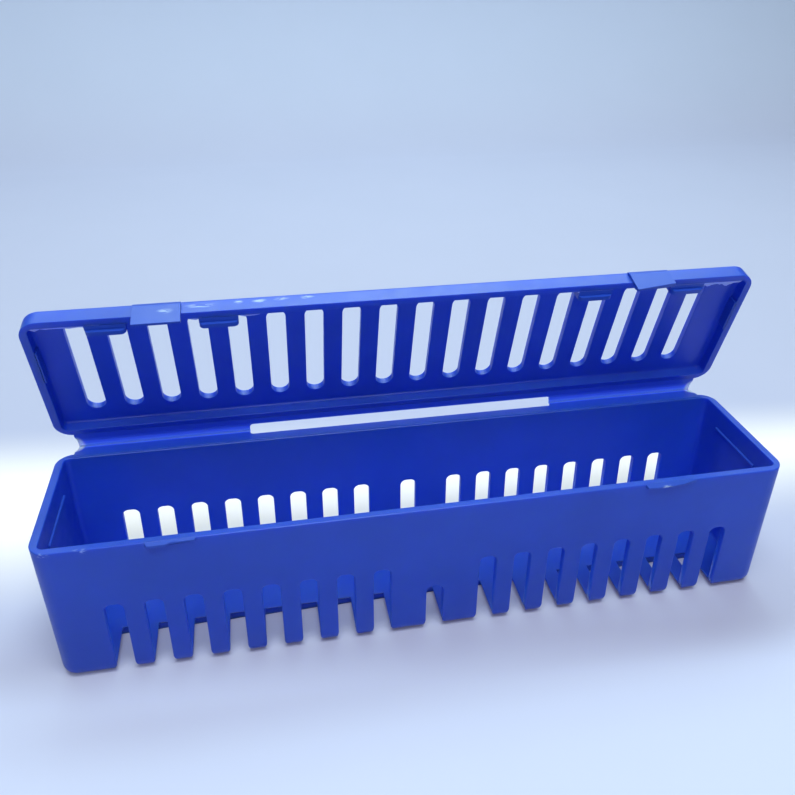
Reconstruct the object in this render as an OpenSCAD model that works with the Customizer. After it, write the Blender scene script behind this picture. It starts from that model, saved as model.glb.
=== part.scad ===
// Slotted instrument cassette: a tray and a lid moulded in one piece of polypropylene,
// joined by a living hinge and held shut by two snap tabs on the lid's front.
// Sizes are in millimetres. The origin is the middle of the tray's underside. X runs along the box,
// the front with the latches faces -Y, the hinge is at the back and +Z is up.
// The lid is drawn shut and then turned about the fold to the angle at which it stands open.

/* [Box] */
// Length of the tray and the lid at the rim
box_l = 181; // [165:1:220]
// Depth of the tray at the rim, front to back
tray_d = 38.5; // [34:0.5:50]
// Height of the tray
tray_h = 38.6; // [32:0.2:55]
// Radius of the upright corners at the rim, on the tray and the lid
corner_r = 4.4; // [4.1:0.1:7]
// Radius of the upright corners inside the rim, on the tray and the lid
inner_corner_r = 1.4; // [1.3:0.1:2.6]
// Gap between the two rims when the box is shut
rim_gap = 0.08; // [0.04:0.01:0.2]
// Angle at which the lid stands open
lid_open = 71.5; // [0:0.5:180]

/* [Tray] */
// Thickness of the tray's upright walls
tray_wall = 2; // [1.5:0.1:2.4]
// Thickness of the tray's floor
tray_floor = 2; // [1.2:0.1:3]
// Inward slope of each tray wall over its whole height
tray_draft = 0.7; // [0.2:0.1:0.8]
// Radius of the tray's bottom edge
foot_r = 3; // [1.5:0.1:3.5]
// Radius between the tray's walls and its floor
inner_foot_r = 0.6; // [0.3:0.1:0.7]
// Length of the thin ridge inside each end wall
ridge_l = 19; // [8:0.5:24]
// Radius of the thin ridge
ridge_r = 0.45; // [0.3:0.05:0.8]
// Depth of the ridge below the rim
ridge_drop = 5.9; // [3:0.1:12]

/* [Tray slots] */
// Clear width of each slot
slot_w = 4.3; // [3.4:0.1:5.5]
// Spacing of the slots
slot_pitch = 8.83; // [7:0.01:12]
// Distance from the middle of the box to the first slot on each side of the middle one
first_slot_x = 13.25; // [9:0.25:18]
// Least distance from the end of the box to the middle of the last slot
slot_margin = 14; // [12:0.5:24]
// Height of the slots' tops in the front wall
front_slot_top = 21.7; // [16:0.1:27]
// Height of the slots' tops in the back wall
back_slot_top = 20.8; // [16:0.1:27]
// Height of the top of the short slot in the middle of the front wall
short_slot_top = 14.3; // [8:0.1:20]
// Radius of the slots' upper corners
slot_r = 1.6; // [0.6:0.1:1.7]
// Width of the unbroken strip along the middle of the floor
spine_w = 12; // [6:0.5:20]

/* [Hinge] */
// Width of each hinge leaf, from the wall to the fold
leaf_w = 4.05; // [3:0.05:6]
// Thickness of each hinge leaf
leaf_t = 0.9; // [0.6:0.05:1.2]
// Drop of the fold below the rims' meeting plane
fold_drop = 0.5; // [0:0.05:1]
// Length of straight rim left beyond each end of the hinge
hinge_inset = 1.3; // [0:0.1:10]
// Length of the open window in the middle of the hinge
window_l = 84.4; // [40:0.2:120]
// Width of the strip of leaf left on the tray at the window
tray_stub = 2.04; // [1.2:0.02:2.6]
// Width of the strip of leaf left on the lid at the window
lid_stub = 1.9; // [1.2:0.02:2.6]
// Radius of the window's corners
window_r = 1; // [0.3:0.1:1]
// Radius of the film bead along the fold
bead_r = 0.35; // [0.2:0.01:0.45]
// Clearance between the film bead and the lid's leaf
bead_gap = 0.03; // [0.02:0.01:0.1]

/* [Lid] */
// Height of the lid, from its rim to its outer face
lid_h = 4.7; // [4.4:0.1:9]
// Thickness of the lid's walls
lid_wall = 1.9; // [1.4:0.1:2.4]
// Thickness of the lid's panel
lid_panel = 1.8; // [1.2:0.1:2.4]
// Inward slope of each lid wall over its whole height
lid_draft = 0.3; // [0.1:0.05:0.6]
// Radius of the lid's outer edge
lid_edge_r = 1; // [0.4:0.1:2]
// Radius between the lid's walls and its panel
lid_inner_r = 0.6; // [0.2:0.1:1]
// How far the lid's front face stands out past the tray's
lid_overhang = 1; // [0.9:0.05:1.5]
// Distance from the lid's back face to the middle of the pad inside each end wall
pad_y = 24.9; // [12:0.1:28]
// Length of the pad inside each end wall
pad_l = 10; // [4:0.5:14]
// How far the pad stands out from the end wall
pad_t = 0.5; // [0.3:0.05:0.8]
// Radius of the pad's corners
pad_r = 0.45; // [0.2:0.05:0.5]

/* [Lid slots] */
// Clear width of each lid slot
lid_slot_w = 4.6; // [3.5:0.05:6]
// Spacing of the lid slots
lid_slot_pitch = 9.2; // [7.5:0.05:12]
// Least distance from the end of the box to the middle of the last lid slot
lid_slot_margin = 10; // [9:0.5:20]
// Shift of the row of lid slots towards -X
lid_slot_shift = 1.2; // [0:0.1:1.5]
// Distance from the lid's back face to the slots' rounded ends
lid_slot_back = 6.5; // [5:0.1:12]
// Distance from the inside of the lid's front wall to the slots' front ends
lid_slot_front = 1.8; // [0.4:0.1:8]

/* [Lid lugs] */
// Distance from the end of the box to the middle of each outer lug
outer_lug_end = 18.6; // [17:0.1:22]
// Distance from the end of the box to the middle of each inner lug
inner_lug_end = 43.9; // [42:0.1:60]
// Width of each locating lug
lug_w = 9; // [4:0.1:12]
// Thickness of each locating lug
lug_t = 1.25; // [0.7:0.05:1.4]
// Reach of the lugs past the lid's rim
lug_reach = 0.8; // [0.6:0.1:2.5]
// Radius of the lugs' free corners
lug_r = 1.2; // [0.3:0.1:1.3]
// Clearance between the lugs and the inside of the tray's front wall
lug_gap = 0.25; // [0.05:0.01:0.4]

/* [Latches] */
// Distance from the left end of the box to the middle of the left tab
left_tab_end = 30.3; // [29.5:0.1:33]
// Distance from the right end of the box to the middle of the right tab
right_tab_end = 29.2; // [29:0.1:33]
// Width of each tab
tab_w = 10.8; // [6:0.1:14]
// Thickness of each tab below the rim
tab_t = 0.7; // [0.6:0.05:1.2]
// Height of the tab's rounded top above the lid's rim
tab_top = 4; // [3:0.1:4.2]
// Reach of the tab past the lid's rim
tab_reach = 3.4; // [2.6:0.1:5]
// Rise of the right tab's uneven lower edge from its inner to its outer side
right_tab_rise = 1.4; // [0:0.1:1.6]
// How far the tab's hook reaches in under the catch
hook_in = 0.55; // [0.3:0.05:0.7]
// Height of the hook's flat face
hook_flat = 0.7; // [0.3:0.1:1.2]
// Clearance of the tab to the lid's front face
tab_gap = 0.02; // [0.01:0.01:0.05]
// Clearance of the hook below the catch
hook_gap = 0.1; // [0.05:0.01:0.3]
// Distance from the left end of the box to the middle of the left catch
left_catch_end = 30.1; // [27:0.1:34]
// Distance from the right end of the box to the middle of the right catch
right_catch_end = 31.6; // [27:0.1:34]
// Length of the left catch at the tray's wall
left_catch_l = 11.1; // [8:0.1:16]
// Length of the right catch at the tray's wall
right_catch_l = 13.6; // [8:0.1:16]
// How far the right catch's outer end runs out at a slant
right_catch_slant = 3.6; // [0.4:0.1:5]
// How far the catches' other ends run out at a slant
catch_slant = 0.5; // [0.2:0.1:1.5]
// Thickness of the catches, whose tops are flush with the rim
catch_t = 1; // [0.7:0.1:1.5]
// Clearance between the catches' lips and the tabs
catch_gap = 0.12; // [0.05:0.01:0.3]

/* [Hidden] */
$fn = 64;
royal = [0.18, 0.31, 0.78];
royal_lit = [0.24, 0.42, 0.92];
royal_deep = [0.14, 0.19, 0.66];

// Steps in each quarter round of a foot or an edge
arc_steps = 6;
// How far a cut runs past the face that it opens
over = tray_wall / 2;
// How far a piece's root starts inside the wall before it is trimmed to the wall's face
root = tray_wall / 2;

tray_front = -tray_d / 2;
tray_back = tray_d / 2;
rim_z = tray_h + rim_gap;
fold_y = tray_back + leaf_w;
fold_z = tray_h + rim_gap / 2 - fold_drop;
hinge_l = box_l - 2 * corner_r - 2 * hinge_inset;
leaf_l = (hinge_l - window_l) / 2;
leaf_x = (hinge_l + window_l) / 4;

// Offsets of the tray's slots from the middle, on one side
slots_a_side = floor((box_l / 2 - slot_margin - first_slot_x) / slot_pitch) + 1;
slot_xs = [for (i = [0:slots_a_side - 1]) first_slot_x + i * slot_pitch];

// The lid reaches from the tray's back face to its own front face
lid_d = tray_d + lid_overhang;
lid_front = tray_back - lid_d;
lid_mid = (tray_back + lid_front) / 2;
lid_slots_a_side = floor((box_l / 2 - lid_slot_margin) / lid_slot_pitch + 0.5);
lid_slot_xs = [for (i = [0:lid_slots_a_side - 1], s = [-1, 1]) s * (i + 0.5) * lid_slot_pitch - lid_slot_shift];

// The lugs stand just inside the tray's front wall
lug_out = tray_front + tray_wall + lug_gap;
outer_lug_x = box_l / 2 - outer_lug_end;
inner_lug_x = box_l / 2 - inner_lug_end;

// The tab's inner face lies on the lid's front face and follows its slope above the rim
lid_slope = lid_draft / lid_h;
tab_in = lid_front - tab_gap;
tab_out = tab_in - tab_t;
tab_round = (tab_t + lid_slope * tab_top) / (2 + lid_slope);
tab_pivot_y = tab_out + tab_round;
tab_pivot_z = rim_z + tab_top - tab_round;
left_tab_x = left_tab_end - box_l / 2;
right_tab_x = box_l / 2 - right_tab_end;
left_catch_x = left_catch_end - box_l / 2;
right_catch_x = box_l / 2 - right_catch_end;
catch_lip = tab_in + catch_gap;
hook_z = tray_h - catch_t - hook_gap;

// Outline of one side of a drafted wall: the rounded foot, the slope up to the rim and a straight rise
function side_points(edge, h, draft, r, rise) =
    let (foot_x = edge - draft * (1 - r / h) - r)
    concat(
        [for (i = [0:arc_steps]) [foot_x + r * sin(90 * i / arc_steps), r - r * cos(90 * i / arc_steps)]],
        [[edge, h]],
        rise > 0 ? [[edge, h + rise]] : []
    );
function both_sides(p) = concat(p, [for (i = [len(p) - 1:-1:0]) [-p[i][0], p[i][1]]]);

// Section across Y and Z, drawn out along X and centred on x
module along_x(l, x = 0) {
    translate([x - l / 2, 0, 0])
        rotate([90, 0, 90])
            linear_extrude(l)
                children();
}

// Box with sloping walls, a rounded foot and rounded upright corners, its rim at height h
module drafted_box(l, d, h, draft, r_foot, r_corner, rise = 0) {
    along_x(l - 2 * r_corner)
        polygon(both_sides(side_points(d / 2, h, draft, r_foot, rise)));
    rotate([0, 0, 90])
        along_x(d - 2 * r_corner)
            polygon(both_sides(side_points(l / 2, h, draft, r_foot, rise)));
    for (sx = [-1, 1], sy = [-1, 1])
        translate([sx * (l / 2 - r_corner), sy * (d / 2 - r_corner), 0])
            rotate_extrude()
                polygon(concat([[0, 0]], side_points(r_corner, h, draft, r_foot, rise), [[0, h + rise]]));
}

// Outer form of the tray, without its hollow
module tray_form() {
    drafted_box(box_l, tray_d, tray_h, tray_draft, foot_r, corner_r);
}

module tray_hollow() {
    depth = tray_h - tray_floor;
    translate([0, 0, tray_floor])
        drafted_box(
            box_l - 2 * tray_wall, tray_d - 2 * tray_wall, depth,
            tray_draft * depth / tray_h, inner_foot_r, inner_corner_r, over
        );
}

// Upright slot with rounded upper corners, open below
module slot_shape(top) {
    translate([-slot_w / 2, -over])
        square([slot_w, top - slot_r + over]);
    translate([-slot_w / 2 + slot_r, -over])
        square([slot_w - 2 * slot_r, top + over]);
    for (s = [-1, 1])
        translate([s * (slot_w / 2 - slot_r), top - slot_r])
            circle(r = slot_r);
}

// One slot cut through a long wall and the floor, up to the floor's middle strip
module slot_cut(x, top, y_start) {
    translate([x, y_start, 0])
        rotate([90, 0, 0])
            linear_extrude((tray_d - spine_w) / 2 + over)
                slot_shape(top);
}

module tray_body() {
    color(royal)
        difference() {
            tray_form();
            tray_hollow();
            for (x = slot_xs, s = [-1, 1]) {
                slot_cut(s * x, front_slot_top, -spine_w / 2);
                slot_cut(s * x, back_slot_top, tray_back + over);
            }
            slot_cut(0, short_slot_top, -spine_w / 2);
            slot_cut(0, back_slot_top, tray_back + over);
        }
}

// Flat lip on the rim, with slanted ends a on the left and b on the right
module catch(x, l, a, b) {
    color(royal_lit)
        difference() {
            translate([x, 0, tray_h - catch_t])
                linear_extrude(catch_t)
                    polygon([
                        [-l / 2, tray_front + root], [-l / 2, tray_front], [-l / 2 + a, catch_lip],
                        [l / 2 - b, catch_lip], [l / 2, tray_front], [l / 2, tray_front + root]
                    ]);
            tray_form();
        }
}

// Half-round ridge along the inside of an end wall
module end_ridge(s) {
    z = tray_h - ridge_drop;
    color(royal_lit)
        intersection() {
            translate([s * (box_l / 2 - tray_wall - tray_draft * (1 - z / tray_h)), ridge_l / 2, z])
                rotate([90, 0, 0])
                    cylinder(r = ridge_r, h = ridge_l);
            tray_hollow();
        }
}

// Half of the hinge's window, from the end of a leaf's stub to past the fold
module window_cut(stub) {
    reach = leaf_w - stub + over;
    translate([0, tray_back + stub, 0])
        linear_extrude(2 * tray_h) {
            translate([-window_l / 2 + window_r, 0])
                square([window_l - 2 * window_r, reach]);
            translate([-window_l / 2, window_r])
                square([window_l, reach - window_r]);
            for (s = [-1, 1])
                translate([s * (window_l / 2 - window_r), window_r])
                    circle(r = window_r);
        }
}

// Line of the fold, as a rod of radius r along the hinge
module fold_rod(r, l, x = 0) {
    translate([x - l / 2, fold_y, fold_z])
        rotate([0, 90, 0])
            cylinder(r = r, h = l);
}

// Section of a leaf lying against the meeting plane, below it for the tray and above it for the lid
module leaf_section(z_root, side) {
    z_end = fold_z + side * rim_gap / 2;
    z_back = z_root + side * leaf_t;
    slope = (z_end - z_root) / leaf_w;
    polygon([
        [tray_back - root, z_root], [tray_back, z_root], [fold_y, z_end],
        [fold_y - leaf_t, z_back + slope * (leaf_w - leaf_t)],
        [tray_back, z_back], [tray_back - root, z_back]
    ]);
}

// Tray's leaf on one side of the window, its end hollowed round the film bead
module tray_leaf(s) {
    color(royal_lit)
        difference() {
            along_x(leaf_l, s * leaf_x)
                leaf_section(tray_h, -1);
            tray_form();
            fold_rod(bead_r, box_l);
        }
}

// Narrow strip of leaf that is left on the tray along the window
module tray_hinge_strip() {
    color(royal_lit)
        difference() {
            along_x(window_l)
                leaf_section(tray_h, -1);
            tray_form();
            window_cut(tray_stub);
        }
}

// Film bead on one side of the window, on the line of the fold
module hinge_film(s) {
    color(royal_lit)
        fold_rod(bead_r, leaf_l, s * leaf_x);
}

// Turns what is drawn on the shut lid about the fold to the open position
module opened() {
    translate([0, fold_y, fold_z])
        rotate([-lid_open, 0, 0])
            translate([0, -fold_y, -fold_z])
                children();
}

// Outer form of the shut lid, rim down
module lid_form() {
    translate([0, lid_mid, rim_z + lid_h])
        mirror([0, 0, 1])
            drafted_box(box_l, lid_d, lid_h, lid_draft, lid_edge_r, corner_r);
}

module lid_hollow() {
    depth = lid_h - lid_panel;
    translate([0, lid_mid, rim_z + depth])
        mirror([0, 0, 1])
            drafted_box(
                box_l - 2 * lid_wall, lid_d - 2 * lid_wall, depth,
                lid_slope * depth, lid_inner_r, inner_corner_r, over
            );
}

module lid_slot_cut(x) {
    y_back = tray_back - lid_slot_back - lid_slot_w / 2;
    y_front = lid_front + lid_wall + lid_slot_front + lid_slot_w / 2;
    translate([x, 0, rim_z])
        linear_extrude(lid_h + over) {
            translate([-lid_slot_w / 2, y_front])
                square([lid_slot_w, y_back - y_front]);
            for (y = [y_front, y_back])
                translate([0, y])
                    circle(d = lid_slot_w);
        }
}

module lid_body() {
    color(royal)
        opened()
            difference() {
                lid_form();
                lid_hollow();
                for (x = lid_slot_xs)
                    lid_slot_cut(x);
            }
}

// Lid's leaf on one side of the window, clear of the film bead
module lid_leaf(s) {
    color(royal_lit)
        opened()
            difference() {
                along_x(leaf_l, s * leaf_x)
                    leaf_section(rim_z, 1);
                lid_form();
                fold_rod(bead_r + bead_gap, box_l);
            }
}

// Narrow strip of leaf that is left on the lid along the window
module lid_hinge_strip() {
    color(royal_lit)
        opened()
            difference() {
                along_x(window_l)
                    leaf_section(rim_z, 1);
                lid_form();
                window_cut(lid_stub);
            }
}

// Lug that drops inside the tray's front wall, rooted on the lid's panel and front wall
module lug(x) {
    depth = lid_h - lid_panel;
    color(royal_deep)
        opened() {
            translate([x, lug_out + lug_t, rim_z])
                rotate([90, 0, 0])
                    linear_extrude(lug_t) {
                        translate([-lug_w / 2, lug_r - lug_reach])
                            square([lug_w, depth + lug_reach - lug_r]);
                        translate([lug_r - lug_w / 2, -lug_reach])
                            square([lug_w - 2 * lug_r, lug_r]);
                        for (s = [-1, 1])
                            translate([s * (lug_w / 2 - lug_r), lug_r - lug_reach])
                                circle(r = lug_r);
                    }
            intersection() {
                translate([x - lug_w / 2, lid_front, rim_z])
                    cube([lug_w, lug_out - lid_front, depth]);
                lid_hollow();
            }
        }
}

// Pad on the inside of an end wall of the lid, with rounded free corners
module end_pad(s) {
    face = box_l / 2 - lid_wall;
    depth = lid_h - lid_panel;
    color(royal_deep)
        opened()
            intersection() {
                translate([s * face, tray_back - pad_y, rim_z])
                    mirror([s < 0 ? 1 : 0, 0, 0])
                        linear_extrude(depth) {
                            translate([-pad_t + pad_r, -pad_l / 2])
                                square([2 * pad_t - 2 * pad_r + root, pad_l]);
                            translate([-pad_t, pad_r - pad_l / 2])
                                square([2 * pad_t + root, pad_l - 2 * pad_r]);
                            for (e = [-1, 1])
                                translate([pad_r - pad_t, e * (pad_l / 2 - pad_r)])
                                    circle(r = pad_r);
                        }
                lid_hollow();
            }
}

// Section of a snap tab: rounded top, flat outer face and a hook below the catch
module tab_section() {
    tab_end = rim_z - tab_reach;
    hook_y = tab_in + hook_in;
    polygon([
        [tab_out, tab_pivot_z], [tab_out, tab_end], [tab_in, tab_end],
        [hook_y, hook_z - hook_flat], [hook_y, hook_z], [tab_in, hook_z],
        [tab_in, rim_z], [tab_out + 2 * tab_round, tab_pivot_z]
    ]);
    translate([tab_pivot_y, tab_pivot_z])
        circle(r = tab_round);
}

// Snap tab on the lid's front, its lower edge rising towards +X
module tab(x, rise) {
    color(royal_lit)
        opened()
            difference() {
                along_x(tab_w, x)
                    tab_section();
                if (rise > 0)
                    translate([x, tab_in + tab_t + hook_in, rim_z - tab_reach])
                        rotate([90, 0, 0])
                            linear_extrude(3 * tab_t + hook_in)
                                polygon([
                                    [-tab_w / 2, 0], [tab_w, 1.5 * rise],
                                    [tab_w, -rise], [-tab_w / 2, -rise]
                                ]);
            }
}

tray_body();
catch(left_catch_x, left_catch_l, catch_slant, catch_slant);  // tray_catch_left
catch(right_catch_x, right_catch_l, catch_slant, right_catch_slant);  // tray_catch_right
end_ridge(-1);  // tray_ridge_left
end_ridge(1);  // tray_ridge_right
tray_leaf(-1);  // tray_leaf_left
tray_leaf(1);  // tray_leaf_right
tray_hinge_strip();
hinge_film(-1);  // hinge_film_left
hinge_film(1);  // hinge_film_right
lid_body();
lid_leaf(-1);  // lid_leaf_left
lid_leaf(1);  // lid_leaf_right
lid_hinge_strip();
tab(left_tab_x, 0);  // lid_tab_left
tab(right_tab_x, right_tab_rise);  // lid_tab_right
lug(-outer_lug_x);  // lid_lug_outer_left
lug(-inner_lug_x);  // lid_lug_inner_left
lug(inner_lug_x);  // lid_lug_inner_right
lug(outer_lug_x);  // lid_lug_outer_right
end_pad(-1);  // lid_pad_left
end_pad(1);  // lid_pad_right
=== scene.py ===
import math
import random

import bmesh
import bpy
from mathutils import Matrix, Vector


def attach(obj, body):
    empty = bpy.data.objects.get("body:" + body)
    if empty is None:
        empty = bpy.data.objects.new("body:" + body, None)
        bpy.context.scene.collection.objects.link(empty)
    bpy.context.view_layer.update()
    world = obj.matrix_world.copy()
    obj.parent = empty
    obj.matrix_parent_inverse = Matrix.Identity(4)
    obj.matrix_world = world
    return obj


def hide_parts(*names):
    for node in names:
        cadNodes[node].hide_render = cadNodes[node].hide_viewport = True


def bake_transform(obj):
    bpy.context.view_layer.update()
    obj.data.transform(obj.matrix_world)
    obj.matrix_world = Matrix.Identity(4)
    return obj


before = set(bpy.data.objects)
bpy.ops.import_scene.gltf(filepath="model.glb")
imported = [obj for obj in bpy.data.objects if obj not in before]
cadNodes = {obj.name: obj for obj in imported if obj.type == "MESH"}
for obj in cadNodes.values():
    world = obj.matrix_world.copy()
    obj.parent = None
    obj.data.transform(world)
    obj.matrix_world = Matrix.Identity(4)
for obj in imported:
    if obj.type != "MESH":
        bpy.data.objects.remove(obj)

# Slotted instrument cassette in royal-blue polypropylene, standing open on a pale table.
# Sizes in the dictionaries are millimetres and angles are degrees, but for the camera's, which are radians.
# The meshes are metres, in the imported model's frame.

mm = 0.001
scene = bpy.context.scene
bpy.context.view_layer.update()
print("frame loaded:", len(cadNodes), "nodes")


# Colours and nodes

def hexToLinear(code):
    parts = [int(code[i:i + 2], 16) / 255 for i in (1, 3, 5)]
    return tuple(c / 12.92 if c <= 0.04045 else ((c + 0.055) / 1.055) ** 2.4 for c in parts) + (1.0,)


# On a Mix node, input 0 is the factor, inputs 6 and 7 are the two colours and output 2 is the result.
def addNode(tree, kind, settings=None, links=None, **attributes):
    node = tree.nodes.new(kind)
    for name, value in attributes.items():
        setattr(node, name, value)
    for key, value in (settings or {}).items():
        node.inputs[key].default_value = value
    for key, source in (links or {}).items():
        tree.links.new(source, node.inputs[key])
    return node


def perMetre(size):  # noise scale that gives features of this size in mm
    return 1 / (size * mm)


def spotMask(tree, place, centre, radii, core=0.6):  # 1 in the core of an ellipsoid, fading out to its edge
    offset = addNode(
        tree, "ShaderNodeVectorMath", {1: Vector(centre) * mm}, {0: place}, operation="SUBTRACT",
    )
    scaled = addNode(
        tree, "ShaderNodeVectorMath", {1: [perMetre(radius) for radius in radii]}, {0: offset.outputs[0]},
        operation="MULTIPLY",
    )
    length = addNode(tree, "ShaderNodeVectorMath", links={0: scaled.outputs[0]}, operation="LENGTH")
    return addNode(
        tree, "ShaderNodeMapRange", {"From Min": 1.0, "From Max": core}, {"Value": length.outputs["Value"]},
        interpolation_type="SMOOTHSTEP",
    ).outputs["Result"]


# Moulded polypropylene: a satin skin with a soft gloss, faint flow clouds, shallow waves and a very fine
# spark-eroded grain. Light goes a few millimetres into it. The grain is drawn as coarse as it needs to show.
polypropylene = {
    "colour": "#2958da", "cloud": "#2754d0", "pale": "#c4dcff", "ior": 1.49,
    "cloudSize": 22, "cloudRange": (0.35, 0.65),
    "handlingSize": 3.5, "handlingRange": (0.3, 0.7), "roughness": (0.30, 0.42),
    "waveSize": 9, "waveDepth": 0.12, "waveStrength": 0.25,
    "grainSize": 0.5, "grainDepth": 0.02, "grainStrength": 0.2,
    "streakSize": (2.2, 0.45, 0.45), "streakFade": 0.12,
    "through": 0.7, "throughThin": 0.6, "throughRadius": (0.15, 0.3, 1.0), "throughScale": 4.0,
}


def mouldedPolypropylene(name, scuffsAndGlints=(), through=True):  # returns material, tree, shader, tint, coordinates
    p = polypropylene
    material = bpy.data.materials.new(name)
    material.use_nodes = True
    tree = material.node_tree
    tree.nodes.clear()
    place = addNode(tree, "ShaderNodeTexCoord").outputs["Object"]
    clouds = addNode(
        tree, "ShaderNodeTexNoise",
        {"Scale": perMetre(p["cloudSize"]), "Detail": 3.0, "Roughness": 0.55}, {"Vector": place},
    )
    cloudMask = addNode(
        tree, "ShaderNodeMapRange",
        {"From Min": p["cloudRange"][0], "From Max": p["cloudRange"][1]}, {"Value": clouds.outputs["Fac"]},
    )
    tint = addNode(
        tree, "ShaderNodeMix", {6: hexToLinear(p["colour"]), 7: hexToLinear(p["cloud"])},
        {0: cloudMask.outputs["Result"]}, data_type="RGBA",
    ).outputs[2]
    handling = addNode(
        tree, "ShaderNodeTexNoise",
        {"Scale": perMetre(p["handlingSize"]), "Detail": 4.0, "Roughness": 0.6}, {"Vector": place},
    )
    gloss = addNode(tree, "ShaderNodeMapRange", {
        "From Min": p["handlingRange"][0], "From Max": p["handlingRange"][1],
        "To Min": p["roughness"][0], "To Max": p["roughness"][1],
    }, {"Value": handling.outputs["Fac"]})
    waves = addNode(
        tree, "ShaderNodeTexNoise", {"Scale": perMetre(p["waveSize"]), "Detail": 1.0}, {"Vector": place},
    )
    waveBump = addNode(
        tree, "ShaderNodeBump", {"Strength": p["waveStrength"], "Distance": p["waveDepth"] * mm},
        {"Height": waves.outputs["Fac"]},
    )
    grain = addNode(
        tree, "ShaderNodeTexNoise", {"Scale": perMetre(p["grainSize"]), "Detail": 2.0}, {"Vector": place},
    )
    grainBump = addNode(
        tree, "ShaderNodeBump", {"Strength": p["grainStrength"], "Distance": p["grainDepth"] * mm},
        {"Height": grain.outputs["Fac"], "Normal": waveBump.outputs["Normal"]},
    )
    # Pale streaks in spots: scuffs, where the blue plastic has turned white, and on the lid's front wall
    # painted glints, highlights of light on its rippled skin.
    stretched = addNode(
        tree, "ShaderNodeVectorMath", {1: [perMetre(size) for size in p["streakSize"]]}, {0: place},
        operation="MULTIPLY",
    )
    streakNoise = addNode(
        tree, "ShaderNodeTexNoise", {"Scale": 1.0, "Detail": 2.0, "Distortion": 0.6},
        {"Vector": stretched.outputs[0]},
    )
    for centre, radii, level in scuffsAndGlints:
        streaks = addNode(
            tree, "ShaderNodeMapRange", {"From Min": level, "From Max": level + p["streakFade"]},
            {"Value": streakNoise.outputs["Fac"]},
        )
        spot = spotMask(tree, place, centre, radii, 0.0)
        amount = addNode(
            tree, "ShaderNodeMath", links={0: streaks.outputs["Result"], 1: spot}, operation="MULTIPLY",
        )
        tint = addNode(
            tree, "ShaderNodeMix", {7: hexToLinear(p["pale"])}, {0: amount.outputs[0], 6: tint},
            data_type="RGBA",
        ).outputs[2]
    shader = addNode(tree, "ShaderNodeBsdfPrincipled", {
        "IOR": p["ior"], "Subsurface Weight": p["through"] if through else 0.0,
        "Subsurface Radius": p["throughRadius"], "Subsurface Scale": p["throughScale"] * mm,
    }, {
        "Base Color": tint, "Roughness": gloss.outputs["Result"], "Normal": grainBump.outputs["Normal"],
    })
    addNode(tree, "ShaderNodeOutputMaterial", links={"Surface": shader.outputs["BSDF"]})
    return material, tree, shader, tint, place


# The same plastic, so thin that light shines through it. Pale spots are painted on it, and a faint glow,
# which is painted light for the light shining through; what each pale spot is, is said where the piece is
# made.
def thinPolypropylene(name, pales, glow):
    material, tree, shader, tint, place = mouldedPolypropylene(name)
    for centre, radii, colour in pales:
        tint = addNode(
            tree, "ShaderNodeMix", {7: hexToLinear(colour)},
            {0: spotMask(tree, place, centre, radii), 6: tint}, data_type="RGBA",
        ).outputs[2]
    tree.links.new(tint, shader.inputs["Base Color"])
    strength = addNode(
        tree, "ShaderNodeMath", {1: glow["more"], 2: glow["all"]},
        {0: spotMask(tree, place, glow["centre"], glow["radii"])}, operation="MULTIPLY_ADD",
    )
    tree.links.new(strength.outputs[0], shader.inputs["Emission Strength"])
    shader.inputs["Emission Color"].default_value = hexToLinear(glow["colour"])
    shader.inputs["Subsurface Weight"].default_value = polypropylene["throughThin"]
    return material


wholeLength = 1000  # a spot of this radius takes in all of the box

# A scuff or painted glint is its centre, its radii, and the noise level from which it shows.
trayPlastic = mouldedPolypropylene("mouldedPolypropyleneTray", [
    ((-87.5, -19.3, 38.1), (2.6, 1.5, 0.8), 0.5), ((-79.5, -19.3, 38.2), (2.4, 1.5, 0.7), 0.5),
])[0]
# The lid's spots, along its front wall, are painted glints: pale streaks of highlight where its rippled skin
# catches the light.
lidPlastic = mouldedPolypropylene("mouldedPolypropyleneLid", [
    ((-50.5, 12.3, 80.3), (4.2, 1.2, 0.6), 0.44), ((-41.8, 12.6, 80.5), (1.5, 1.2, 0.5), 0.42),
    ((-37, 12.5, 80.4), (2.2, 1.2, 0.45), 0.42), ((-31.8, 12.6, 80.5), (2.5, 1.2, 0.42), 0.42),
    ((-25.8, 12.6, 80.5), (2.4, 1.2, 0.4), 0.44),
])[0]
smallPlastic = mouldedPolypropylene("mouldedPolypropyleneSmallForms", [
    ((-58.3, 10.5, 80.3), (2.4, 1.5, 0.55), 0.4), ((57.5, -20, 37.9), (1.8, 1, 0.5), 0.46),
], False)[0]
# A pale spot is its centre, its radii and its colour: here the crease, and the web's stressed ends. The two
# crease bands are stress whitening and a painted highlight along the fold, lifting it out of its shade; the
# ends are stress whitening. The glow, faint on all the web and stronger over the film, is painted light for
# light shining through it.
hingePlastic = thinPolypropylene("thinPolypropyleneHinge", [
    ((0, 23.8, 39.1), (wholeLength, 1.9, 2.3), "#4a78f0"),
    ((0, 23.4, 38.3), (wholeLength, 0.8, 0.95), "#7c9ffa"),
    ((-86.6, 23.3, 38.5), (2.6, 3.4, 3.4), "#e3ebfb"), ((86.6, 23.3, 38.5), (2.6, 3.4, 3.4), "#e3ebfb"),
], {
    "colour": "#4a70ff", "all": 0.03, "more": 0.15,
    "centre": (0, 23.4, 38.5), "radii": (wholeLength, 1.5, 1.7),
})
# The rim strips are painted paler all over and glow a little: painted light, for the light that shines
# through the thin plastic.
rimStripPlastic = thinPolypropylene("thinPolypropyleneRimStrips", [
    ((0, 12, 78), (wholeLength, 20, 20), "#8fa4ff"),
], {
    "colour": "#6f86ff", "all": 0.16, "more": 0.0, "centre": (0, 12, 78), "radii": (wholeLength, 20, 20),
})
print("materials made")


# Shaping and finishing the pieces

finishing = {"merge": 0.002, "flatAngle": 0.5, "bevelAngle": 30, "cutNear": 0.001}


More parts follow.
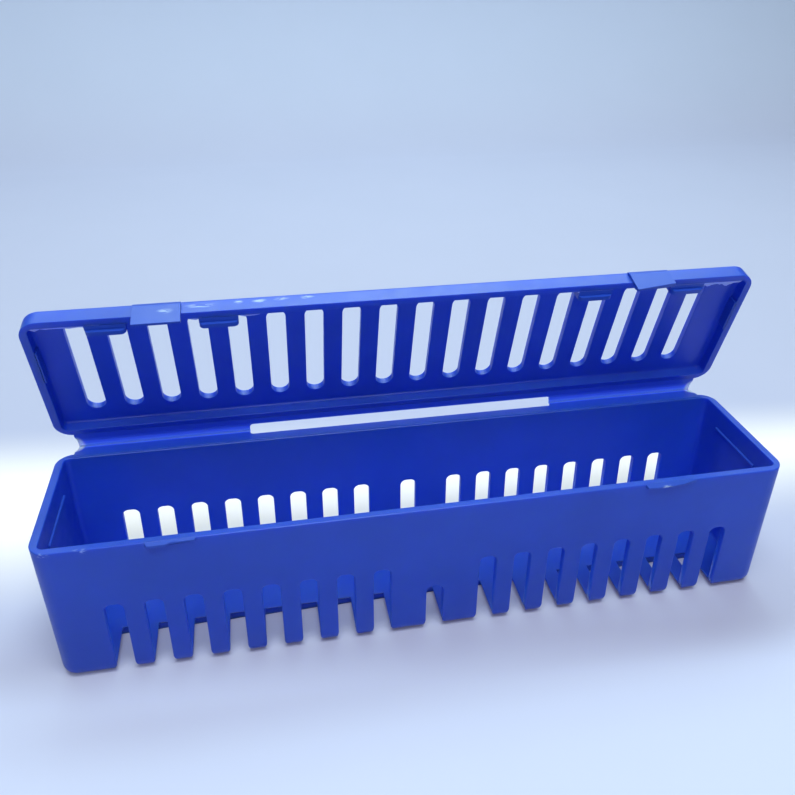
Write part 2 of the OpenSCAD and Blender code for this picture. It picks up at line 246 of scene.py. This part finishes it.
def solidCopy(nodeName):
    bm = bmesh.new()
    bm.from_mesh(cadNodes[nodeName].data)
    bmesh.ops.remove_doubles(bm, verts=bm.verts, dist=finishing["merge"] * mm)
    flat = math.radians(finishing["flatAngle"])
    bmesh.ops.dissolve_limit(bm, angle_limit=flat, verts=bm.verts, edges=bm.edges)
    return bm


def cutAtHeight(bm, height):  # adds a ring of edges there
    bmesh.ops.bisect_plane(
        bm, geom=bm.verts[:] + bm.edges[:] + bm.faces[:], dist=finishing["cutNear"] * mm,
        plane_co=(0, 0, height * mm), plane_no=(0, 0, 1),
    )


def easeInOut(share):
    return share * share * (3 - 2 * share)


def finishPiece(
    bm, name, body, material, nodeNames, edge=0.25, segments=3, sharp=35, clamp=False,
):
    mesh = bpy.data.meshes.new(name)
    for face in bm.faces:
        face.smooth = True
    bm.to_mesh(mesh)
    bm.free()
    mesh.set_sharp_from_angle(angle=math.radians(sharp))
    mesh.materials.append(material)
    piece = bpy.data.objects.new(name, mesh)
    scene.collection.objects.link(piece)
    if edge:
        bevel = piece.modifiers.new("roundedEdges", "BEVEL")
        bevel.width = edge * mm
        bevel.segments = segments
        bevel.limit_method = "ANGLE"
        bevel.angle_limit = math.radians(min(finishing["bevelAngle"], sharp))
        bevel.use_clamp_overlap = clamp
        bevel.harden_normals = True
    if body:
        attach(piece, body)
    if nodeNames:
        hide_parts(*nodeNames)
    return piece


# Tray

# A face that looks along X by more than slotSide, and lies inside endWall, is the side of a slot.
tray = {"edge": 0.28, "footWide": 2.0, "footHigh": 2.8, "footSteps": 5, "endWall": 86, "slotSide": 0.95}


def roundFeet(bm):  # the ribs' feet are well rounded, and every other edge is nearly crisp
    t = tray
    for k in range(t["footSteps"]):
        cutAtHeight(bm, t["footHigh"] * (1 - math.sin(math.pi / 2 * k / t["footSteps"])))
    bm.normal_update()
    moves = {}
    for face in bm.faces:
        if abs(face.normal.x) > t["slotSide"] and abs(face.calc_center_median().x) < t["endWall"] * mm:
            for vert in face.verts:
                drop = 1 - max(0, vert.co.z / mm) / t["footHigh"]
                if drop > 0:
                    inwards = t["footWide"] * (1 - math.sqrt(1 - drop * drop))
                    moves[vert] = -math.copysign(inwards, face.normal.x)
    for vert, move in moves.items():
        vert.co.x += move * mm
    return bm


finishPiece(
    roundFeet(solidCopy("tray_body")), "trayShell", "tray", trayPlastic, ["tray_body"],
    tray["edge"],
)


# Lid, and the strips inside its front rim: mould flash, and one painted highlight

lid = {"edge": 0.13, "foldY": 23.3, "foldZ": 38.14, "openAngle": 71.5}

# The tabs and the rim strips are shaped with the lid shut and turned open about the fold.
fold = Vector((0, lid["foldY"], lid["foldZ"])) * mm
turn = Matrix.Rotation(math.radians(-lid["openAngle"]), 4, "X")
openTurn = Matrix.Translation(fold) @ turn @ Matrix.Translation(-fold)

# Each strip runs from one X to another, and its width wanders between two values.
rimStrips = {
    "rimInner": -18.35, "rimHeight": 38.7, "root": 0.15, "start": 0.02,
    "step": 0.55, "sway": 0.12, "rise": 0.1, "thick": 0.14,
    "strips": [
        {"from": 66.5, "to": 87.0, "wide": (0.5, 1.5), "seed": 5},
        {"from": -88.2, "to": -85.6, "wide": (0.4, 1.3), "seed": 2},
        # This strip is a painted highlight: a pale sliver along the rim's inner edge, where the edge catches
        # the light.
        {"from": -85.5, "to": -73.0, "wide": (0.25, 0.5), "seed": 7},
        {"from": -53.6, "to": -50.4, "wide": (0.35, 0.8), "seed": 9},
        {"from": -41.8, "to": -37.2, "wide": (0.3, 0.7), "seed": 11},
        {"from": 41.5, "to": 51.0, "wide": (0.5, 1.1), "seed": 12},
    ],
}


def addRimStrip(bm, strip):  # thin ragged strip along the inside of the front rim: mould flash, and in one place a painted highlight
    f = rimStrips
    rng = random.Random(strip["seed"])
    length = strip["to"] - strip["from"]
    steps = max(3, int(length / f["step"]))
    narrow, wide = strip["wide"]
    low, high = [], []
    width = narrow
    for k in range(steps + 1):
        x = strip["from"] + length * k / steps
        width = min(wide, max(narrow, width + rng.uniform(-0.5, 0.5) * (wide - narrow)))
        reach = width * min(1, k / 2, (steps - k) / 2)
        tipX = x + rng.uniform(-f["sway"], f["sway"])
        tipY, tipZ = f["rimInner"] + f["start"] + reach, f["rimHeight"] + f["rise"] * reach
        low.append(bm.verts.new(Vector((x, f["rimInner"] - f["root"], f["rimHeight"])) * mm))
        high.append(bm.verts.new(Vector((tipX, tipY, tipZ)) * mm))
    faces = [bm.faces.new((low[k], low[k + 1], high[k + 1], high[k])) for k in range(steps)]
    thick = bmesh.ops.extrude_face_region(bm, geom=faces, use_keep_orig=True)
    lifted = [v for v in thick["geom"] if isinstance(v, bmesh.types.BMVert)]
    bmesh.ops.translate(bm, verts=lifted, vec=(0, 0, f["thick"] * mm))
    bmesh.ops.recalc_face_normals(bm, faces=bm.faces)


finishPiece(solidCopy("lid_body"), "lidShell", "lid", lidPlastic, ["lid_body"], lid["edge"])
rimStripMesh = bmesh.new()
for strip in rimStrips["strips"]:
    addRimStrip(rimStripMesh, strip)
rimStripMesh.transform(openTurn)
finishPiece(rimStripMesh, "lidRimStrips", "lid", rimStripPlastic, [], 0)


# Catches on the tray's front rim

# The lip is set back by set and, past the share bump of its length, by back as well. Its top is at front.
catch = {
    "lip": -20.15, "near": 0.01, "longEdge": 5, "cuts": 15, "edge": 0.06,
    "middle": 38.1, "frontRise": 0.5, "underRise": 0.9,
    "set": 0.04, "rough": 0.04, "roughUnder": 0.5, "bumpFade": 0.12,
    "left": {"from": -65.45, "to": -55.35, "front": 38.22, "bump": 0.36, "back": 0.34, "seed": 3},
    "right": {"from": 52.6, "to": 62.1, "front": 38.02, "bump": 0.75, "back": 0.15, "seed": 4},
}


def onLip(vert):
    return abs(vert.co.y / mm - catch["lip"]) < catch["near"]


def shapeCatch(bm, side):  # its top slopes down to the lip, which is deeper at its outer part and uneven
    c, s = catch, catch[side]
    rng = random.Random(s["seed"])
    front = [e for e in bm.edges if all(onLip(v) for v in e.verts) and e.calc_length() > c["longEdge"] * mm]
    bmesh.ops.subdivide_edges(bm, edges=front, cuts=c["cuts"], use_grid_fill=True)
    uneven = {}
    for vert in [v for v in bm.verts if onLip(v)]:
        along = (vert.co.x / mm - s["from"]) / (s["to"] - s["from"])
        key = round(along, 3)
        uneven.setdefault(key, rng.uniform(-c["rough"], c["rough"]))
        fade = min(1, max(0, (along - s["bump"]) / c["bumpFade"]))
        back = s["back"] * easeInOut(fade) + uneven[key] + c["set"]
        vert.co.y += back * mm
        if vert.co.z > c["middle"] * mm:
            vert.co.z = (s["front"] + c["frontRise"] * back) * mm
        else:
            vert.co.z += (c["underRise"] * back + c["roughUnder"] * uneven[key]) * mm
    return bm


# Snap tabs on the lid

# The ramp takes away this share of the tab's thickness: left for the left tab, right for the right one.
tab = {
    "rampFrom": 41.35, "rampTo": 42.7, "inner": -20.15, "left": 0.75, "right": 0.7, "edge": 0.07, "sharp": 15,
}


def shapeTab(bm, side):  # the outer face runs up to the lid's edge on a ramp
    t = tab
    bm.transform(openTurn.inverted())
    cutAtHeight(bm, t["rampFrom"])
    for vert in bm.verts:
        rise = (vert.co.z / mm - t["rampFrom"]) / (t["rampTo"] - t["rampFrom"])
        if rise > 0:
            offset = vert.co.y / mm - t["inner"]
            vert.co.y = (t["inner"] + offset * (1 - t[side] * min(1, rise))) * mm
    bm.transform(openTurn)
    return bm


small = {"padEdge": 0.12, "lugEdge": 0.15}

for side in ("left", "right"):
    part = side.title()
    finishPiece(
        shapeCatch(solidCopy("tray_catch_" + side), side), "trayCatch" + part, "tray", smallPlastic,
        ["tray_catch_" + side], catch["edge"],
    )
    finishPiece(
        solidCopy("tray_ridge_" + side), "trayRidge" + part, "tray", smallPlastic,
        ["tray_ridge_" + side], 0,
    )
    finishPiece(
        shapeTab(solidCopy("lid_tab_" + side), side), "lidTab" + part, side + "_tab", smallPlastic,
        ["lid_tab_" + side], tab["edge"], sharp=tab["sharp"],
    )
    finishPiece(
        solidCopy("lid_pad_" + side), "lidPad" + part, "lid", smallPlastic,
        ["lid_pad_" + side], small["padEdge"],
    )
    for place in ("outer", "inner"):
        nodeName = f"lid_lug_{place}_{side}"
        finishPiece(
            solidCopy(nodeName), f"lidLug{place.title()}{part}", "lid", smallPlastic,
            [nodeName], small["lugEdge"], clamp=True,
        )
print("tray and lid shaped")


# Hinge web, moulded flat and folded up at the film

# The web is measured flat, from the fold. The stubs are what the window leaves of the two leaves. At each
# end the web is rounded in by endWaist, with a short flat of endFlat to both sides of the fold.
hinge = {
    "length": 169.6, "leaf": 4.05, "thick": 0.9, "film": 0.36, "filmStep": 0.08, "filmHalf": 0.45,
    "slope": 0.1235, "rise": -0.01, "root": 1.7, "edge": 0.12,
    "window": 84.4, "windowRadius": 0.98, "trayStub": 2.04, "lidStub": 1.9, "toolHigh": 6,
    "endWaist": 4.6, "endOut": 1.1, "endFlat": 0.9, "endFlare": 1.7,
}


def makeHingeWeb():  # flat sheet, its underside notched along the film
    h = hinge
    inner, edge = h["filmHalf"] * 0.5, h["leaf"] + h["root"]
    # Distance from the fold and depth below the upper side, for one half of the section
    top = [(0, 0), (inner, 0), (h["filmHalf"], 0), (h["leaf"], 0), (edge, 0)]
    under = [
        (0, h["film"]), (inner, h["film"]), (h["filmHalf"], h["film"] + h["filmStep"]),
        (h["thick"], h["thick"]), (h["leaf"], h["thick"]), (edge, h["thick"]),
    ]
    outline = [(-w, depth) for w, depth in top[:0:-1]] + top + under[::-1]
    outline += [(-w, depth) for w, depth in under[1:]]
    reach = h["length"] / 2 + h["endFlare"]
    bm = bmesh.new()
    corners = [
        bm.verts.new((-reach * mm, w * mm, (h["rise"] - h["slope"] * w - depth) * mm)) for w, depth in outline
    ]
    swept = bmesh.ops.extrude_face_region(bm, geom=[bm.faces.new(corners)], use_keep_orig=True)
    moved = [v for v in swept["geom"] if isinstance(v, bmesh.types.BMVert)]
    bmesh.ops.translate(bm, verts=moved, vec=(2 * reach * mm, 0, 0))
    bmesh.ops.recalc_face_normals(bm, faces=bm.faces)
    return bm


def asObject(bm, name):
    mesh = bpy.data.meshes.new(name)
    bm.to_mesh(mesh)
    piece = bpy.data.objects.new(name, mesh)
    scene.collection.objects.link(piece)
    return piece


def cutAway(bm, tools):  # takes the tools' shapes out of bm
    body = asObject(bm, "cutBody")
    cutters = [asObject(tool, "cutTool") for tool in tools]
    for cutter in cutters:
        cut = body.modifiers.new("cut", "BOOLEAN")
        cut.operation = "DIFFERENCE"
        cut.solver = "EXACT"
        cut.object = cutter
    result = bpy.data.meshes.new_from_object(body.evaluated_get(bpy.context.evaluated_depsgraph_get()))
    bm.clear()
    bm.from_mesh(result)
    bpy.data.meshes.remove(result)
    for piece in [body] + cutters:
        bpy.data.meshes.remove(piece.data)
    for tool in tools:
        tool.free()


def windowTool():
    h = hinge
    low, high = h["trayStub"] - h["leaf"], h["leaf"] - h["lidStub"]
    tool = bmesh.new()
    bmesh.ops.create_cube(tool, size=1)
    size = (h["window"] * mm, (high - low) * mm, h["toolHigh"] * mm)
    bmesh.ops.scale(tool, vec=size, verts=tool.verts)
    upright = [e for e in tool.edges if abs(e.verts[0].co.z - e.verts[1].co.z) > 1 * mm]
    bmesh.ops.bevel(
        tool, geom=upright, offset=h["windowRadius"] * mm, segments=8,
        affect="EDGES", profile=0.5, material=-1,
    )
    bmesh.ops.translate(tool, vec=(0, (high + low) / 2 * mm, 0), verts=tool.verts)
    return tool


def waistTool(side):  # rounds one end of the web in at the film
    h = hinge
    radius = h["endWaist"] * mm
    tool = bmesh.new()
    bmesh.ops.create_cone(
        tool, cap_ends=True, segments=96, radius1=radius, radius2=radius, depth=h["toolHigh"] * mm,
    )
    for vert in tool.verts:
        vert.co.y += math.copysign(h["endFlat"] * mm, vert.co.y)
    out = h["length"] / 2 + h["endOut"] + h["endWaist"]
    bmesh.ops.translate(tool, vec=(side * out * mm, 0, 0), verts=tool.verts)
    return tool


def foldWeb(bm):  # turns the lid's half of the web up, smoothly over the film
    fullTurn = math.radians(180 - lid["openAngle"])
    for vert in bm.verts:
        share = min(1, max(0, (vert.co.y / mm / hinge["filmHalf"] + 1) / 2))
        angle = fullTurn * easeInOut(share)
        y, z = vert.co.y, vert.co.z
        vert.co.y = y * math.cos(angle) - z * math.sin(angle) + lid["foldY"] * mm
        vert.co.z = y * math.sin(angle) + z * math.cos(angle) + lid["foldZ"] * mm


web = makeHingeWeb()
cutAway(web, [windowTool(), waistTool(-1), waistTool(1)])
foldWeb(web)
hingeWeb = finishPiece(web, "hingeWeb", None, hingePlastic, [
    "tray_leaf_left", "tray_leaf_right", "tray_hinge_strip", "hinge_film_left", "hinge_film_right",
    "lid_leaf_left", "lid_leaf_right", "lid_hinge_strip",
], hinge["edge"], 2)
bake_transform(hingeWeb)
print("hinge web shaped")


# Camera, fitted to the photograph

view = {
    "place": (-36.534, -165.316, 156.825), "yaw": 0.2041, "pitch": 0.4888, "roll": -0.0145,
    "focal": 808.78, "centre": (414.09, 363.68), "frame": 795, "sensor": 36,
}


def makeCamera():
    v = view
    ahead = math.cos(v["pitch"])
    forward = Vector((math.sin(v["yaw"]) * ahead, math.cos(v["yaw"]) * ahead, -math.sin(v["pitch"])))
    right = Vector((math.cos(v["yaw"]), -math.sin(v["yaw"]), 0))
    down = forward.cross(right)
    turnedRight = right * math.cos(v["roll"]) + down * math.sin(v["roll"])
    turnedDown = down * math.cos(v["roll"]) - right * math.sin(v["roll"])
    lens = bpy.data.cameras.new("camera")
    lens.sensor_width = v["sensor"]
    lens.lens = v["focal"] / v["frame"] * v["sensor"]
    lens.shift_x = 0.5 - v["centre"][0] / v["frame"]
    lens.shift_y = v["centre"][1] / v["frame"] - 0.5
    lens.clip_start = 0.01
    camera = bpy.data.objects.new("camera", lens)
    scene.collection.objects.link(camera)
    axes = Matrix((turnedRight, -turnedDown, -forward)).transposed().to_4x4()
    camera.matrix_world = Matrix.Translation(Vector(v["place"]) * mm) @ axes
    scene.camera = camera


makeCamera()


# Floor, backdrop and light

# The floor and backdrop are one pale sheet. What the camera sees of it is lifted a little everywhere, and
# more in soft areas. The band behind the object is a painted pool of light, which also reaches under the back
# slots into the object's own shadow; the lift in front of the object paints where the object's shadow on the
# floor ends; and high up the backdrop is lifted as well. Only the camera sees the lift, and the real shadow
# stays in the sheet under it.
# Each lifted area runs from one place to the next in mm, along Y or along Y turned by tilt.
stage = {
    "floor": "#bec0dc", "wall": "#babdd9", "mottleSize": 60,
    "half": 900, "depth": 620, "height": 1100, "curve": 160,
    "everywhere": (0.055, 0.05, 0.07, 1.0), "tilt": 0.10,
    "bandLow": (2, 50), "bandHigh": (88, 46), "bandColour": (0.58, 0.57, 0.34, 1.0),
    "front": (-21, -38), "frontColour": (0.14, 0.185, 0.24, 1.0),
    "far": (480, 640), "farColour": (0.06, 0.11, 0.13, 1.0),
    "worldColour": "#dfe9ff", "worldStrength": 0.03, "worldSeen": 0.6,
}


def makeBoardMaterial():
    s = stage
    material = bpy.data.materials.new("paleBoard")
    material.use_nodes = True
    tree = material.node_tree
    tree.nodes.clear()
    place = addNode(tree, "ShaderNodeTexCoord").outputs["Object"]
    mottle = addNode(
        tree, "ShaderNodeTexNoise", {"Scale": perMetre(s["mottleSize"]), "Detail": 2.0}, {"Vector": place},
    )
    tint = addNode(
        tree, "ShaderNodeMix", {6: hexToLinear(s["floor"]), 7: hexToLinear(s["wall"])},
        {0: mottle.outputs["Fac"]}, data_type="RGBA",
    )
    axes = addNode(tree, "ShaderNodeSeparateXYZ", links={0: place})
    straight = axes.outputs["Y"]
    tilted = addNode(
        tree, "ShaderNodeMath", {1: s["tilt"]}, {0: axes.outputs["X"], 2: straight}, operation="MULTIPLY_ADD",
    ).outputs[0]
    areas = {}
    for name, source in (("bandLow", straight), ("bandHigh", tilted), ("front", tilted), ("far", straight)):
        areas[name] = addNode(
            tree, "ShaderNodeMapRange", {"From Min": s[name][0] * mm, "From Max": s[name][1] * mm},
            {"Value": source}, interpolation_type="SMOOTHSTEP",
        ).outputs["Result"]
    areas["band"] = addNode(
        tree, "ShaderNodeMath", links={0: areas["bandLow"], 1: areas["bandHigh"]}, operation="MULTIPLY",
    ).outputs[0]
    # The band and the front lift are painted light: a pool of light behind the object, and the end of its
    # shadow in front.
    glow = None
    for name in ("band", "front", "far"):
        settings, links = {7: s[name + "Colour"]}, {0: areas[name]}
        if glow is None:
            settings[6] = s["everywhere"]
        else:
            links[6] = glow
        glow = addNode(
            tree, "ShaderNodeMix", settings, links, data_type="RGBA", blend_type="ADD",
        ).outputs[2]
    seen = addNode(tree, "ShaderNodeLightPath").outputs["Is Camera Ray"]
    shader = addNode(tree, "ShaderNodeBsdfPrincipled", {"Roughness": 0.9, "Specular IOR Level": 0.1}, {
        "Base Color": tint.outputs[2], "Emission Color": glow, "Emission Strength": seen,
    })
    addNode(tree, "ShaderNodeOutputMaterial", links={"Surface": shader.outputs["BSDF"]})
    return material


def makeStage():
    s = stage
    near = 1e-6
    bm = bmesh.new()
    bmesh.ops.create_grid(bm, x_segments=1, y_segments=1, size=s["half"] * mm)
    back = [e for e in bm.edges if all(v.co.y > 0 for v in e.verts)]
    for vert in bm.verts:
        if vert.co.y > 0:
            vert.co.y = s["depth"] * mm
    raised = bmesh.ops.extrude_edge_only(bm, edges=back)
    lifted = [v for v in raised["geom"] if isinstance(v, bmesh.types.BMVert)]
    bmesh.ops.translate(bm, vec=(0, 0, s["height"] * mm), verts=lifted)
    atSeam = {v for v in bm.verts if abs(v.co.y - s["depth"] * mm) < near and v.co.z < near}
    seam = [e for e in bm.edges if all(v in atSeam for v in e.verts)]
    bmesh.ops.bevel(
        bm, geom=seam, offset=s["curve"] * mm, segments=16, affect="EDGES", profile=0.5, material=-1,
    )
    for face in bm.faces:
        face.smooth = True
    mesh = bpy.data.meshes.new("floorAndBackdrop")
    bm.to_mesh(mesh)
    bm.free()
    mesh.materials.append(makeBoardMaterial())
    board = bpy.data.objects.new("floorAndBackdrop", mesh)
    scene.collection.objects.link(board)


target = (0, 0, 30)  # every lamp points at the middle of the box
lamps = {
    "softboxFront": {"place": (0, -250, 850), "size": (500, 300), "power": 4.6, "colour": "#f6fffa"},
    "softboxBack": {"place": (20, 420, 760), "size": (400, 250), "power": 1.85, "colour": "#e0fff8"},
    "softboxBackRight": {"place": (300, 480, 700), "size": (500, 400), "power": 2.25, "colour": "#e0fff8"},
    "softboxBackLeft": {"place": (-300, 480, 700), "size": (500, 400), "power": 1.3, "colour": "#e0fff8"},
    "fillFront": {"place": (0, -650, 650), "size": (500, 500), "power": 0.95, "colour": "#f6fffa"},
}


def addLamp(name, place, size, power, colour):
    lamp = bpy.data.lights.new(name, "AREA")
    lamp.shape = "RECTANGLE"
    lamp.size, lamp.size_y = size[0] * mm, size[1] * mm
    lamp.energy = power
    lamp.color = hexToLinear(colour)[:3]
    holder = bpy.data.objects.new(name, lamp)
    holder.location = Vector(place) * mm
    holder.rotation_euler = (Vector(target) - Vector(place)).to_track_quat("-Z", "Y").to_euler()
    scene.collection.objects.link(holder)


def makeWorld():  # dim, and pale where the camera looks past the board
    world = bpy.data.worlds.new("paleRoom")
    world.use_nodes = True
    tree = world.node_tree
    background = tree.nodes["Background"]
    seen = addNode(tree, "ShaderNodeLightPath").outputs["Is Camera Ray"]
    strength = addNode(
        tree, "ShaderNodeMath", {1: stage["worldSeen"], 2: stage["worldStrength"]}, {0: seen},
        operation="MULTIPLY_ADD",
    )
    background.inputs["Color"].default_value = hexToLinear(stage["worldColour"])
    tree.links.new(strength.outputs[0], background.inputs["Strength"])
    scene.world = world


makeStage()
for name, lamp in lamps.items():
    addLamp(name, **lamp)
makeWorld()
scene.view_settings.view_transform = "Standard"
print("stage, light and camera set")
